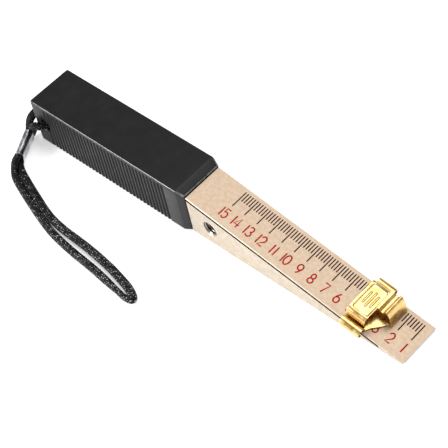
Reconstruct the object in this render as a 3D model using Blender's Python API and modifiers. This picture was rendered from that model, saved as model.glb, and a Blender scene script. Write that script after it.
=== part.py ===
"""A wedge feeler gauge: a tapered steel bar in a ribbed plastic handle, with a brass
index slider that runs along the bar's scale face, and a wrist lanyard.

The bar's scale face rises 1 mm for every PITCH mm along it, so the distance from the
wedge's apex along that face reads straight off as a gap width. All lengths below are in
millimetres and all the objects are in metres. +X is toward the thin tip, +Y is the far
side, and Z is up from the surface that the handle lies on.
"""
import math

import bmesh
import bpy
from mathutils import Matrix, Vector

MM = 0.001
GAP = 0.3                      # clearance kept between pieces that touch

# The wedge bar
PITCH = 5.5                    # distance along the scale face for 1 mm of thickness
SLOPE = math.asin(1 / PITCH)   # angle between the scale face and the flat underside
TIP_READING = 0.42             # thickness of the blunt tip
HANDLE_READING = 17.6          # thickness where the bar goes into the handle
BAR_WIDTH = 17.1
BAR_LIFT = 0.6                 # the handle stands this much proud of the bar's underside
GROOVE_TOP, GROOVE_BOTTOM = -0.55, -1.55   # side grooves, measured from the scale face
GROOVE_DEPTH = 0.75
GROOVE_END = 12.35             # closed end of the grooves, along the face from the apex
SIDE_HOLE_READING = 15.82      # where the threaded side hole crosses the bar
SIDE_HOLE_HEIGHT = 7.6
SIDE_HOLE_BORE, SIDE_HOLE_SINK = 2.5, 3.05

# The handle
HANDLE_LENGTH, HANDLE_WIDTH, HANDLE_HEIGHT = 77.9, 19.5, 20.5
HANDLE_EDGE = 0.8              # rounding of its long edges
NOSE_LENGTH, NOSE_DROP = 3.0, 1.0          # the tapered front end
RIB_COUNT, RIB_PITCH, RIB_DEPTH = 35, 1.775, 0.45
RIB_FRONT = 10.0               # first groove, behind the handle's front
RIB_TOP = 19.2                 # the grooves run out at the bottom and stop here
TANG_LENGTH, TANG_WIDTH, TANG_HEIGHT = 55.0, 14.0, 12.0
TANG_CENTRE = 10.25
CORD_HOLE_INSET, CORD_HOLE_HEIGHT = 5.8, 10.0
CORD_HOLE_RADIUS, CORD_HOLE_SINK = 2.2, 2.8

# The screw that holds the tang, from below
SCREW_SETBACK = 22.0           # behind the handle's front
SCREW_HEAD, SCREW_SHANK, SCREW_LENGTH, SCREW_SINK = 2.9, 1.5, 9.0, 1.7
SCREW_SOCKET, SCREW_SOCKET_DEPTH = 1.0, 1.0

# The index slider, in its own frame: X along the scale face with 0 at the index edge,
# Y across the bar, Z above the scale face
REST_READING = 2.36
SHEET = 0.4                    # thickness of the brass sheet
FLOOR = 0.3                    # height of the base sheet above the scale face
FLOOR_HALF = 7.6
SLIDER_REAR, SLIDER_RAIL_FRONT, SLIDER_LIP_FRONT = -13.8, -5.7, -6.9
TONGUE_NEAR, TONGUE_FAR = -0.9, 7.2
RAIL_Y, RAIL_Z, RAIL_RADIUS = 9.2, 0.6, 1.8
LIP_Y = 8.15
COVER_FRONT, COVER_FOOT, COVER_TOP = -6.3, 1.0, 5.7
COVER_FLAT, COVER_BULGE, COVER_SIDE_Z = 5.6, 1.95, 3.0
RAMP_RIDGE = 6.65
WINDOW_CENTRE, WINDOW_LENGTH, WINDOW_WIDTH = -10.6, 5.0, 5.0
SPRING_WIDTH, SPRING_THICKNESS = 3.6, 0.3

# The lanyard
CORD_RADIUS = 1.05
CORD_STEP = 2.6                # distance between the points of a cord's line
FERRULE_TOP = Vector((-87.6, -13.25, 3.4))
FERRULE_BOTTOM = Vector((-81.9, -23.5, 3.4))
FERRULE_LANE = 1.65            # height of each strand above or below the ferrule's axis
FERRULE_WALL = 0.35
WRIST_ROUTE = [
    (-82.75, -21.95, 5.05), (-81.95, -23.40, 5.05), (-81.80, -25.30, 4.20), (-81.00, -27.00, 2.90),
    (-79.00, -29.00, 1.60), (-76.50, -30.30, 1.15), (-71.30, -32.25, 1.15), (-60.30, -35.90, 1.15),
    (-48.20, -39.00, 1.15), (-36.40, -40.40, 1.15), (-23.80, -41.20, 1.15), (-15.20, -42.20, 1.15),
    (-9.60, -43.30, 1.15), (-5.60, -44.20, 1.15), (-3.30, -43.10, 1.15), (-4.30, -41.30, 1.15),
    (-8.60, -40.10, 1.15), (-13.50, -39.10, 1.15), (-19.30, -38.00, 1.15), (-25.80, -37.20, 1.15),
    (-32.50, -36.60, 1.15), (-39.00, -36.30, 1.15), (-45.70, -36.00, 1.15), (-52.50, -35.10, 1.15),
    (-58.00, -33.70, 1.15), (-63.30, -31.90, 1.15), (-68.90, -30.00, 1.15), (-74.50, -27.90, 1.15),
    (-78.30, -26.20, 1.20), (-80.50, -24.90, 1.50), (-81.90, -23.45, 1.75), (-82.75, -21.95, 1.75),
]
LOOP_ROUTE = [
    (-86.80, -14.70, 1.75), (-87.60, -13.25, 1.75), (-88.20, -12.20, 1.80), (-88.20, -11.30, 2.30),
    (-87.20, -11.10, 3.40), (-85.76, -11.08, 5.40), (-83.60, -11.55, 7.80), (-81.70, -11.90, 9.60),
    (-80.10, -11.00, 10.15), (-79.61, -9.20, 10.00), (-79.61, -6.50, 10.00), (-79.61, 0.00, 10.00),
    (-79.61, 6.50, 10.00), (-79.61, 9.30, 10.00), (-80.20, 11.20, 10.00), (-82.20, 12.20, 10.00),
    (-85.00, 12.10, 10.00), (-87.40, 10.70, 9.90), (-88.50, 8.00, 9.80), (-88.70, 3.00, 9.80),
    (-88.70, -3.00, 9.80), (-88.75, -7.00, 9.60), (-88.85, -9.40, 8.60), (-88.90, -10.80, 6.80),
    (-88.30, -12.00, 5.40), (-87.60, -13.25, 5.05), (-86.80, -14.70, 5.05),
]

# Places that follow from the sizes above
RISE_TO_TIP = (HANDLE_READING - TIP_READING) * PITCH * math.cos(SLOPE)
LENGTH = HANDLE_LENGTH + RISE_TO_TIP
APEX_X = LENGTH / 2 + TIP_READING * PITCH * math.cos(SLOPE)
REAR_X = -LENGTH / 2
FRONT_X = REAR_X + HANDLE_LENGTH


# Helpers

def clear_scene():
    for old in list(bpy.data.objects):
        bpy.data.objects.remove(old, do_unlink=True)


def collection(name):
    made = bpy.data.collections.new(name)
    bpy.context.scene.collection.children.link(made)
    return made


def material(name, colour, roughness, metallic):
    made = bpy.data.materials.new(name)
    made.use_nodes = True
    shader = made.node_tree.nodes["Principled BSDF"]
    shader.inputs["Base Color"].default_value = (*colour, 1)
    shader.inputs["Roughness"].default_value = roughness
    shader.inputs["Metallic"].default_value = metallic
    return made


def mesh_object(name, mesh, group, matrix=Matrix()):
    made = bpy.data.objects.new(name, mesh)
    made.matrix_world = matrix
    group.objects.link(made)
    return made


def as_cutter(piece):
    piece.hide_render = True
    piece.display_type = "WIRE"
    return piece


def box(name, low, high, group, matrix=Matrix()):
    """A box between two corners, in millimetres in the frame of matrix."""
    low, high = Vector(low), Vector(high)
    mesh = bpy.data.meshes.new(name)
    shape = bmesh.new()
    bmesh.ops.create_cube(shape, size=1)
    bmesh.ops.scale(shape, vec=(high - low) * MM, verts=shape.verts)
    bmesh.ops.translate(shape, vec=(low + high) / 2 * MM, verts=shape.verts)
    shape.to_mesh(mesh)
    shape.free()
    return mesh_object(name, mesh, group, matrix)


def outline_solid(name, outlines, depth, group, matrix=Matrix()):
    """A flat outline in the XY plane, extruded by half of depth to each side."""
    curve = bpy.data.curves.new(name, "CURVE")
    curve.dimensions = "2D"
    curve.fill_mode = "BOTH"
    curve.extrude = depth / 2 * MM
    for points in outlines:
        spline = curve.splines.new("POLY")
        spline.points.add(len(points) - 1)
        for point, (x, y) in zip(spline.points, points):
            point.co = (x * MM, y * MM, 0, 1)
        spline.use_cyclic_u = True
    drawn = bpy.data.objects.new(name, curve)
    group.objects.link(drawn)
    bpy.context.view_layer.update()
    seen = drawn.evaluated_get(bpy.context.evaluated_depsgraph_get())
    mesh = bpy.data.meshes.new_from_object(seen)
    bpy.data.objects.remove(drawn, do_unlink=True)
    shape = bmesh.new()
    shape.from_mesh(mesh)
    bmesh.ops.remove_doubles(shape, verts=shape.verts, dist=0.00001)
    bmesh.ops.recalc_face_normals(shape, faces=shape.faces)
    shape.to_mesh(mesh)
    shape.free()
    return mesh_object(name, mesh, group, matrix)


def turned(name, profile, group, matrix=Matrix(), steps=24):
    """A solid turned about Z from (radius, height) points, top to bottom at +X."""
    mesh = bpy.data.meshes.new(name)
    shape = bmesh.new()
    rim = [shape.verts.new((radius * MM, 0, height * MM)) for radius, height in profile]
    for start, end in zip(rim, rim[1:]):
        shape.edges.new((start, end))
    shape.to_mesh(mesh)
    shape.free()
    made = mesh_object(name, mesh, group, matrix)
    screw = made.modifiers.new("turn", "SCREW")
    screw.steps = steps
    screw.render_steps = steps
    screw.use_merge_vertices = True
    screw.merge_threshold = 0.00001
    return made


def boolean(piece, other, operation):
    cut = piece.modifiers.new(operation.lower(), "BOOLEAN")
    cut.operation = operation
    cut.object = other
    cut.solver = "EXACT"


def arc(centre, radius, start, end, steps):
    """Points on an arc or ellipse, with angles in degrees; radius is a number or a pair."""
    across, up = radius if isinstance(radius, tuple) else (radius, radius)
    turns = [math.radians(start + (end - start) * i / steps) for i in range(steps + 1)]
    return [(centre[0] + across * math.cos(a), centre[1] + up * math.sin(a)) for a in turns]


def sheet_outline(line, thickness):
    """The closed outline of a bent sheet, from the line along its middle."""
    points = [Vector(p) for p in line]
    sides = []
    for i, point in enumerate(points):
        before = (point - points[i - 1]).normalized() if i else None
        after = (points[i + 1] - point).normalized() if i < len(points) - 1 else None
        along = ((before or after) + (after or before)).normalized()
        normal = Vector((-along.y, along.x))
        stretch = 1 / max(0.5, along.dot(after or before))
        sides.append(normal * thickness / 2 * stretch)
    upper = [tuple(p + s) for p, s in zip(points, sides)]
    lower = [tuple(p - s) for p, s in zip(points, sides)]
    return upper + lower[::-1]


def smooth_line(route, step):
    """Points a step apart on a Catmull-Rom curve through the route's points."""
    points = [Vector(p) for p in route]
    padded = [2 * points[0] - points[1], *points, 2 * points[-1] - points[-2]]
    fine = []
    for a, b, c, d in zip(padded, padded[1:], padded[2:], padded[3:]):
        for i in range(20):
            t = i / 20
            fine.append(0.5 * (2 * b + (c - a) * t + (2 * a - 5 * b + 4 * c - d) * t ** 2
                               + (3 * b - a - 3 * c + d) * t ** 3))
    fine.append(points[-1])
    travelled = [0.0]
    for start, end in zip(fine, fine[1:]):
        travelled.append(travelled[-1] + (end - start).length)
    count = max(2, round(travelled[-1] / step))
    line, j = [], 0
    for i in range(count):
        goal = travelled[-1] * i / count
        while travelled[j + 1] < goal:
            j += 1
        part = (goal - travelled[j]) / max(1e-9, travelled[j + 1] - travelled[j])
        line.append(fine[j].lerp(fine[j + 1], part))
    return [*line, points[-1]]


def cord(name, route, group):
    curve = bpy.data.curves.new(name, "CURVE")
    curve.dimensions = "3D"
    curve.bevel_depth = CORD_RADIUS * MM
    curve.bevel_resolution = 2
    curve.use_fill_caps = True
    line = smooth_line(route, CORD_STEP)
    spline = curve.splines.new("POLY")
    spline.points.add(len(line) - 1)
    for point, place in zip(spline.points, line):
        point.co = (*(place * MM), 1)
    made = bpy.data.objects.new(name, curve)
    group.objects.link(made)
    return made


def face_place(along, across=0.0, above=0.0):
    """World place, in metres, of a point given from the apex along the scale face."""
    x = APEX_X - along * math.cos(SLOPE) + above * math.sin(SLOPE)
    z = BAR_LIFT + along * math.sin(SLOPE) + above * math.cos(SLOPE)
    return Vector((x, across, z)) * MM


UPRIGHT = Matrix.Rotation(math.pi / 2, 4, "X")         # an XY outline stands up in XZ
ACROSS = Matrix.Rotation(math.pi / 2, 4, "Y") @ Matrix.Rotation(math.pi / 2, 4, "Z")


# The fixed pieces

def build_bar(parts, cutters):
    """The steel wedge, from its blunt tip to the shoulder, with its tang behind."""
    tip, shoulder = TIP_READING, HANDLE_READING
    tip_x = APEX_X - tip * PITCH * math.cos(SLOPE)
    shoulder_x = FRONT_X + GAP
    profile = [
        (shoulder_x, BAR_LIFT),
        (tip_x, BAR_LIFT),
        (tip_x, BAR_LIFT + tip),
        (shoulder_x, BAR_LIFT + shoulder - GAP * math.tan(SLOPE)),
    ]
    bar = outline_solid("wedge_bar", [profile], BAR_WIDTH, parts, UPRIGHT)
    tang = box(
        "tang_shape",
        (FRONT_X - TANG_LENGTH, -TANG_WIDTH / 2, TANG_CENTRE - TANG_HEIGHT / 2),
        (shoulder_x + 1, TANG_WIDTH / 2, TANG_CENTRE + TANG_HEIGHT / 2),
        cutters,
    )
    boolean(bar, as_cutter(tang), "UNION")
    tilt = Matrix.Translation(face_place(0)) @ Matrix.Rotation(SLOPE, 4, "Y")
    past_shoulder = HANDLE_READING * PITCH + 3
    for side, name in ((-1, "near_groove_cut"), (1, "far_groove_cut")):
        edge, outside = BAR_WIDTH / 2 - GROOVE_DEPTH, BAR_WIDTH / 2 + 1
        ys = sorted((side * edge, side * outside))
        groove = box(
            name,
            (-past_shoulder, ys[0], GROOVE_BOTTOM),
            (-GROOVE_END, ys[1], GROOVE_TOP),
            cutters,
            tilt,
        )
        boolean(bar, as_cutter(groove), "DIFFERENCE")
    half = BAR_WIDTH / 2
    sink = SIDE_HOLE_SINK - SIDE_HOLE_BORE
    hole_profile = [
        (0, half + 1), (SIDE_HOLE_SINK + 1, half + 1), (SIDE_HOLE_BORE, half - sink),
        (SIDE_HOLE_BORE, sink - half), (SIDE_HOLE_SINK + 1, -half - 1), (0, -half - 1),
    ]
    hole_x = APEX_X - SIDE_HOLE_READING * PITCH * math.cos(SLOPE)
    place = Matrix.Translation(Vector((hole_x, 0, BAR_LIFT + SIDE_HOLE_HEIGHT)) * MM) @ UPRIGHT
    boolean(bar, as_cutter(turned("side_hole_cut", hole_profile, cutters, place)), "DIFFERENCE")
    socket_profile = [
        (0, SCREW_LENGTH + 1), (SCREW_SHANK + GAP, SCREW_LENGTH + 1), (SCREW_SHANK + GAP, 0), (0, 0),
    ]
    socket = turned("screw_socket_cut", socket_profile, cutters, screw_place(), 16)
    boolean(bar, as_cutter(socket), "DIFFERENCE")
    return bar


def screw_place():
    return Matrix.Translation(Vector((FRONT_X - SCREW_SETBACK, 0, 0)) * MM)


def rib_comb(name, side, cutters):
    """One body of V-shaped cutters, one for each groove in a side of the handle."""
    mesh = bpy.data.meshes.new(name)
    shape = bmesh.new()
    reach = RIB_DEPTH + 0.4
    for i in range(RIB_COUNT):
        wedge = bmesh.ops.create_cone(
            shape, cap_ends=True, segments=4, radius1=reach * MM, radius2=reach * MM, depth=(RIB_TOP + 1) * MM
        )["verts"]
        x = FRONT_X - RIB_FRONT - i * RIB_PITCH
        y = side * (HANDLE_WIDTH / 2 + 0.4)
        bmesh.ops.translate(shape, vec=Vector((x, y, (RIB_TOP - 1) / 2)) * MM, verts=wedge)
    shape.to_mesh(mesh)
    shape.free()
    return mesh_object(name, mesh, cutters)


def build_handle(parts, cutters):
    """The moulded handle: a block with a tapered nose, hollow for the tang."""
    mesh = bpy.data.meshes.new("handle_body")
    shape = bmesh.new()
    bmesh.ops.create_cube(shape, size=1)
    block = Vector((HANDLE_LENGTH - NOSE_LENGTH, HANDLE_WIDTH, HANDLE_HEIGHT)) * MM
    bmesh.ops.scale(shape, vec=block, verts=shape.verts)
    centre = Vector((REAR_X + (HANDLE_LENGTH - NOSE_LENGTH) / 2, 0, HANDLE_HEIGHT / 2)) * MM
    bmesh.ops.translate(shape, vec=centre, verts=shape.verts)
    front = max(shape.faces, key=lambda face: face.calc_center_median().x)
    nose = bmesh.ops.extrude_face_region(shape, geom=[front])
    tips = [item for item in nose["geom"] if isinstance(item, bmesh.types.BMVert)]
    shape.faces.remove(front)
    for tip in tips:
        tip.co.x += NOSE_LENGTH * MM
        tip.co.y *= 1 - 2 * NOSE_DROP / HANDLE_WIDTH
        middle = HANDLE_HEIGHT / 2 * MM
        tip.co.z = middle + (tip.co.z - middle) * (1 - 2 * NOSE_DROP / HANDLE_HEIGHT)
    shape.to_mesh(mesh)
    shape.free()
    handle = mesh_object("handle_body", mesh, parts)
    rounding = handle.modifiers.new("edges", "BEVEL")
    rounding.width = HANDLE_EDGE * MM
    rounding.segments = 2
    rounding.limit_method = "ANGLE"
    rounding.angle_limit = math.radians(40)

    room = GAP + TANG_HEIGHT / 2
    cavity = box(
        "tang_cavity_cut",
        (FRONT_X - TANG_LENGTH - 2, -TANG_WIDTH / 2 - GAP, TANG_CENTRE - room),
        (FRONT_X + 2, TANG_WIDTH / 2 + GAP, TANG_CENTRE + room),
        cutters,
    )
    boolean(handle, as_cutter(cavity), "DIFFERENCE")
    for side, name in ((-1, "near_rib_cut"), (1, "far_rib_cut")):
        boolean(handle, as_cutter(rib_comb(name, side, cutters)), "DIFFERENCE")

    half = HANDLE_WIDTH / 2
    sink = CORD_HOLE_SINK - CORD_HOLE_RADIUS
    hole_profile = [
        (0, half + 1), (CORD_HOLE_SINK + 1, half + 1), (CORD_HOLE_RADIUS, half - sink),
        (CORD_HOLE_RADIUS, sink - half), (CORD_HOLE_SINK + 1, -half - 1), (0, -half - 1),
    ]
    centre = Vector((REAR_X + CORD_HOLE_INSET, 0, CORD_HOLE_HEIGHT)) * MM
    hole = turned("cord_hole_cut", hole_profile, cutters, Matrix.Translation(centre) @ UPRIGHT)
    boolean(handle, as_cutter(hole), "DIFFERENCE")

    seat = [
        (0, SCREW_LENGTH), (SCREW_SHANK + GAP, SCREW_LENGTH), (SCREW_SHANK + GAP, SCREW_SINK + GAP),
        (SCREW_HEAD + GAP, GAP), (SCREW_HEAD + GAP, -1), (0, -1),
    ]
    boolean(handle, as_cutter(turned("screw_seat_cut", seat, cutters, screw_place())), "DIFFERENCE")
    return handle


def build_screw(parts, cutters):
    """A countersunk hexagon-socket screw up through the handle's floor into the tang."""
    profile = [
        (0, SCREW_LENGTH), (SCREW_SHANK, SCREW_LENGTH - 0.4), (SCREW_SHANK, SCREW_SINK),
        (SCREW_HEAD, 0.35), (SCREW_HEAD, 0.1), (0, 0.1),
    ]
    screw = turned("handle_screw", profile, parts, screw_place())
    mesh = bpy.data.meshes.new("hexagon_cut")
    shape = bmesh.new()
    bmesh.ops.create_cone(
        shape, cap_ends=True, segments=6, radius1=SCREW_SOCKET * MM, radius2=SCREW_SOCKET * MM,
        depth=2 * SCREW_SOCKET_DEPTH * MM,
    )
    shape.to_mesh(mesh)
    shape.free()
    boolean(screw, as_cutter(mesh_object("hexagon_cut", mesh, cutters, screw_place())), "DIFFERENCE")
    return screw


# The slider

def build_slider_base(parts, cutters, axis):
    """The base sheet: a floor with a tongue to the index edge, and a rolled rail on each
    side that wraps round the bar's edge and hooks into its groove."""
    notch = arc((-4.7, -1.15), (3.6, 5.6), 270, 360, 8)
    floor_line = [
        (SLIDER_REAR, -FLOOR_HALF), (SLIDER_RAIL_FRONT, -FLOOR_HALF), (-5.3, -6.9),
        *[(x, y) for x, y in notch[1:]],
        (-0.85, TONGUE_NEAR), (-0.85, TONGUE_FAR), (SLIDER_LIP_FRONT, FLOOR_HALF), (SLIDER_REAR, FLOOR_HALF),
    ]
    floor_mid = Matrix.Translation((0, 0, (FLOOR + SHEET / 2) * MM))
    base = outline_solid("slider_base", [floor_line], SHEET, parts, floor_mid)
    rail_line = [
        *arc((RAIL_Y, RAIL_Z), RAIL_RADIUS - SHEET / 2, 191, -90, 20),
        (LIP_Y, RAIL_Z - RAIL_RADIUS + SHEET / 2),
    ]
    section = sheet_outline(rail_line, SHEET)
    for side, front, name in ((-1, SLIDER_RAIL_FRONT, "near_rail_shape"), (1, SLIDER_LIP_FRONT, "far_rail_shape")):
        outline = [(side * y, z) for y, z in section]
        middle = Matrix.Translation(((SLIDER_REAR + front) / 2 * MM, 0, 0)) @ ACROSS
        rail = outline_solid(name, [outline], front - SLIDER_REAR, cutters, middle)
        rail.parent = axis
        boolean(base, as_cutter(rail), "UNION")
    trim = box(
        "near_lip_cut",
        (SLIDER_LIP_FRONT, -RAIL_Y, -3),
        (0, GAP - LIP_Y, -0.3),
        cutters,
    )
    window = box(
        "spring_window_cut",
        (WINDOW_CENTRE - WINDOW_LENGTH / 2, -WINDOW_WIDTH / 2, -1),
        (WINDOW_CENTRE + WINDOW_LENGTH / 2, WINDOW_WIDTH / 2, 2),
        cutters,
    )
    for cutter in (trim, window):
        cutter.parent = axis
        boolean(base, as_cutter(cutter), "DIFFERENCE")
    base.parent = axis
    return base


def build_slider_cover(parts, cutters, axis):
    """The cover: a raised pad with bulging sides, whose front dips, rises into a ridge and
    comes down as a ramp to the index edge."""
    across, tall = COVER_BULGE - SHEET / 2, COVER_TOP - COVER_SIDE_Z - SHEET / 2
    foot_angle = 180 + math.degrees(math.asin((COVER_SIDE_Z - COVER_FOOT) / tall))
    side_line = arc((-COVER_FLAT, COVER_SIDE_Z), (across, tall), foot_angle, 90, 12)
    pad_line = side_line + [(-y, z) for y, z in side_line[::-1]]
    middle = Matrix.Translation(((SLIDER_REAR + COVER_FRONT) / 2 * MM, 0, 0)) @ ACROSS
    outline = sheet_outline(pad_line, SHEET)
    cover = outline_solid("slider_cover", [outline], COVER_FRONT - SLIDER_REAR, parts, middle)
    ramp_line = [
        (COVER_FRONT - 1.0, COVER_TOP - SHEET), (-5.5, COVER_TOP - SHEET), (-5.0, 5.0), (-4.4, 4.85),
        (-3.75, 4.95), (-3.45, 5.35), (-3.3, RAMP_RIDGE), (-2.85, RAMP_RIDGE), (-2.25, 5.9), (-1.5, 4.7),
        (-0.85, 3.2), (-0.3, 1.4), (0.0, FLOOR),
        (-0.45, FLOOR), (-0.75, 1.5), (-1.3, 3.1), (-1.95, 4.4), (-2.9, 5.2), (-3.5, 4.6), (-4.4, 4.45),
        (-5.2, 4.6), (-5.7, COVER_TOP - 2 * SHEET), (COVER_FRONT - 1.0, COVER_TOP - 2 * SHEET),
    ]
    lifted = [(x, z + SHEET if x <= -5.5 else z) for x, z in ramp_line]
    middle = Matrix.Translation((0, (TONGUE_NEAR + TONGUE_FAR) / 2 * MM, 0)) @ UPRIGHT
    ramp = outline_solid("ramp_shape", [lifted], TONGUE_FAR - TONGUE_NEAR, cutters, middle)
    ramp.parent = axis
    boolean(cover, as_cutter(ramp), "UNION")
    cover.parent = axis
    return cover


def build_slider_spring(parts, axis):
    """A bent strip that bears on the cover's underside and, through the window in the
    base, on the scale face, so that the slider stays where it is put."""
    line = [
        (-12.9, 4.7), (-9.0, 4.7), *arc((-9.0, 3.9), 0.8, 60, -60, 5), (-9.6, 2.4), (-10.6, 0.8),
        *arc((-11.0, 0.95), 0.5, -60, -120, 3), (-11.9, 1.1),
    ]
    middle = Matrix.Translation((0, 0, 0)) @ UPRIGHT
    outline = sheet_outline(line, SPRING_THICKNESS)
    spring = outline_solid("slider_spring", [outline], SPRING_WIDTH, parts, middle)
    spring.parent = axis
    return spring


# The lanyard

def build_ferrule(parts):
    """A flattened tube crimped over the lanyard's strands, lying on its narrow side."""
    along = FERRULE_BOTTOM - FERRULE_TOP
    out = along.normalized()
    up = Vector((0, 0, 1))
    inner = CORD_RADIUS + GAP
    outer = inner + FERRULE_WALL

    def rounded(radius):
        right = arc((FERRULE_LANE, 0), radius, -90, 90, 8)
        return right + [(-x, -y) for x, y in right]

    turn = Matrix((up, out.cross(up), out)).transposed().to_4x4()
    place = Matrix.Translation((FERRULE_TOP + along / 2) * MM) @ turn
    return outline_solid("lanyard_ferrule", [rounded(outer), rounded(inner)], along.length, parts, place)


def finish(piece, finish_material, smooth=True):
    if piece.type == "MESH" and smooth:
        piece.data.shade_smooth()
        piece.data.set_sharp_from_angle(angle=math.radians(35))
    piece.data.materials.clear()
    piece.data.materials.append(finish_material)


def main():
    clear_scene()
    parts = collection("wedge_feeler_gauge")
    cutters = collection("cutters")
    steel = material("satin_plated_steel", (0.71, 0.52, 0.36), 0.38, 0.9)
    plastic = material("black_abs", (0.025, 0.025, 0.025), 0.42, 0.0)
    brass = material("polished_brass", (0.90, 0.66, 0.25), 0.2, 1.0)
    bronze = material("phosphor_bronze", (0.72, 0.42, 0.22), 0.3, 1.0)
    screw_steel = material("black_oxide_steel", (0.06, 0.06, 0.065), 0.45, 0.8)
    aluminium = material("bright_aluminium", (0.80, 0.80, 0.81), 0.25, 1.0)
    braid = material("black_braid", (0.012, 0.012, 0.013), 0.8, 0.0)

    finish(build_bar(parts, cutters), steel)
    finish(build_handle(parts, cutters), plastic)
    finish(build_screw(parts, cutters), screw_steel)

    axis = bpy.data.objects.new("slider_axis", None)
    axis.matrix_world = Matrix.Translation(face_place(REST_READING * PITCH)) @ Matrix.Rotation(SLOPE, 4, "Y")
    parts.objects.link(axis)
    finish(build_slider_base(parts, cutters, axis), brass)
    finish(build_slider_cover(parts, cutters, axis), brass)
    finish(build_slider_spring(parts, axis), bronze)

    finish(build_ferrule(parts), aluminium)
    finish(cord("lanyard_wrist_cord", WRIST_ROUTE, parts), braid)
    finish(cord("lanyard_handle_cord", LOOP_ROUTE, parts), braid)


main()
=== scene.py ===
import math

import bmesh
import bpy
from mathutils import Matrix, Vector


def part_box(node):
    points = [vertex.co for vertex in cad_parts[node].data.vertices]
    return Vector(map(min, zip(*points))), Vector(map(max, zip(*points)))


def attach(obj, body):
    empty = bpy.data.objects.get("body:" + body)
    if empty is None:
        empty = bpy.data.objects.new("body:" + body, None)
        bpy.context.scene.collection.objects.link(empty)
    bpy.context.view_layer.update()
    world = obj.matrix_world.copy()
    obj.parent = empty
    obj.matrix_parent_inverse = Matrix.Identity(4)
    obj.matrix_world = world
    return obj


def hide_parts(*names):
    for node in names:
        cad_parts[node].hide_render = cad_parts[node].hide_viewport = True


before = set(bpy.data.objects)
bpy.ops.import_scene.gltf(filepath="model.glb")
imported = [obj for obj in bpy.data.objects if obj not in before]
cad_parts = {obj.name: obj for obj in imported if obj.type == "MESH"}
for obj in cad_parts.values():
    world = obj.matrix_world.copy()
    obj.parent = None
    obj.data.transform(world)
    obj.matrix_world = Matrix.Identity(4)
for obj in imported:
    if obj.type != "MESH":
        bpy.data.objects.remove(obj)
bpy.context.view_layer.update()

# %% [markdown]
# # A wedge feeler gauge
# A tapered steel bar is pushed into a gap until it stops, and the brass slider's front edge
# shows how wide the gap is. The solids that move and collide are already here as a fixed
# frame. This file gives each of them its finished shape and its surface.
# The order is the camera, the lanyard, the handle, the bar with its scale, the slider and
# last the lights. Lengths are in millimetres in the tables and in metres in the scene.

# %% Sizes that come from the frame
MM = 0.001
bar_low, bar_high = (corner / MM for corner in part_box("wedge_bar"))
handle_low, handle_high = (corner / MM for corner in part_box("handle_body"))

PITCH = 5.5                               # travel along the scale face for 1 mm of thickness
SLOPE = math.asin(1 / PITCH)
TIP_READING = 0.42
REST_READING = 2.36
apex_x = bar_high.x + TIP_READING * PITCH * math.cos(SLOPE)
face = Matrix.Translation((apex_x, 0, bar_low.z)) @ Matrix.Rotation(SLOPE, 4, "Y")
slider = face @ Matrix.Translation((-REST_READING * PITCH, 0, 0))
print("bar", tuple(bar_low), tuple(bar_high), "handle", tuple(handle_low), tuple(handle_high))

# %% [markdown]
# ## The camera
# A long lens from above the near side keeps the bar's edges almost parallel. The camera
# looks at a point in the middle of the gauge and is then rolled, so that the gauge runs
# from the upper left of the view down to the lower right.

# %% Camera
CAMERA_PLACE = Vector((278.2, -208.2, 414.6)) * MM
CAMERA_TARGET = Vector((2.47, -2.30, 5.0)) * MM
CAMERA_ROLL = math.radians(-13.57)

camera_data = bpy.data.cameras.new("bench_camera")
camera_data.lens = 125
camera_data.sensor_width = 36
camera_data.clip_start = 0.02
camera = bpy.data.objects.new("bench_camera", camera_data)
look = (CAMERA_TARGET - CAMERA_PLACE).to_track_quat("-Z", "Y").to_matrix().to_4x4()
rolled = look @ Matrix.Rotation(CAMERA_ROLL, 4, "Z")
camera.matrix_world = Matrix.Translation(CAMERA_PLACE) @ rolled
bpy.context.scene.collection.objects.link(camera)
bpy.context.scene.camera = camera
bpy.context.scene.view_settings.view_transform = "Standard"
print("camera", tuple(round(value, 3) for value in camera.location))

# %% [markdown]
# ## Colours and nodes
# Colours are written as sRGB hex values, as in a paint program, and Blender's shaders want
# linear light, so one function turns one into the other. A second small function adds a
# node, sets it up and links it. The others name the steps that every surface here needs:
# a noise, its ramp and a relief. So each material below reads as a list of layers.

# %% Helpers for materials
def colour(hex_value):
    channels = [int(hex_value[i:i + 2], 16) / 255 for i in (1, 3, 5)]
    return (*[c / 12.92 if c <= 0.04045 else ((c + 0.055) / 1.055) ** 2.4 for c in channels], 1.0)


def add_node(tree, kind, links=None, **settings):
    node = tree.nodes.new(kind)
    for name, value in settings.items():
        setattr(node, name, value)
    for name, value in (links or {}).items():
        if isinstance(value, bpy.types.NodeSocket):
            tree.links.new(value, node.inputs[name])
        else:
            node.inputs[name].default_value = value
    return node


def new_material(name, base, roughness, metallic=0.0):
    made = bpy.data.materials.new(name)
    made.use_nodes = True
    made.diffuse_color = colour(base)
    shader = made.node_tree.nodes["Principled BSDF"]
    shader.inputs["Base Color"].default_value = colour(base)
    shader.inputs["Roughness"].default_value = roughness
    shader.inputs["Metallic"].default_value = metallic
    return made, made.node_tree, shader


def ramp(tree, factor, stops):
    """A colour ramp; each stop is a place from 0 to 1 and a colour or a grey."""
    node = add_node(tree, "ShaderNodeValToRGB", {"Fac": factor})
    elements = node.color_ramp.elements
    while len(elements) < len(stops):
        elements.new(0.5)
    for element, (place, value) in zip(elements, stops):
        element.position = place
        element.color = colour(value) if isinstance(value, str) else (value, value, value, 1)
    return node.outputs["Color"]


def object_space(tree):
    return add_node(tree, "ShaderNodeTexCoord").outputs["Object"]


def stretched(tree, rotation, scale):
    """Object space turned and then scaled along each axis."""
    settings = {"Vector": object_space(tree), "Rotation": rotation, "Scale": scale}
    return add_node(tree, "ShaderNodeMapping", settings).outputs["Vector"]


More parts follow.
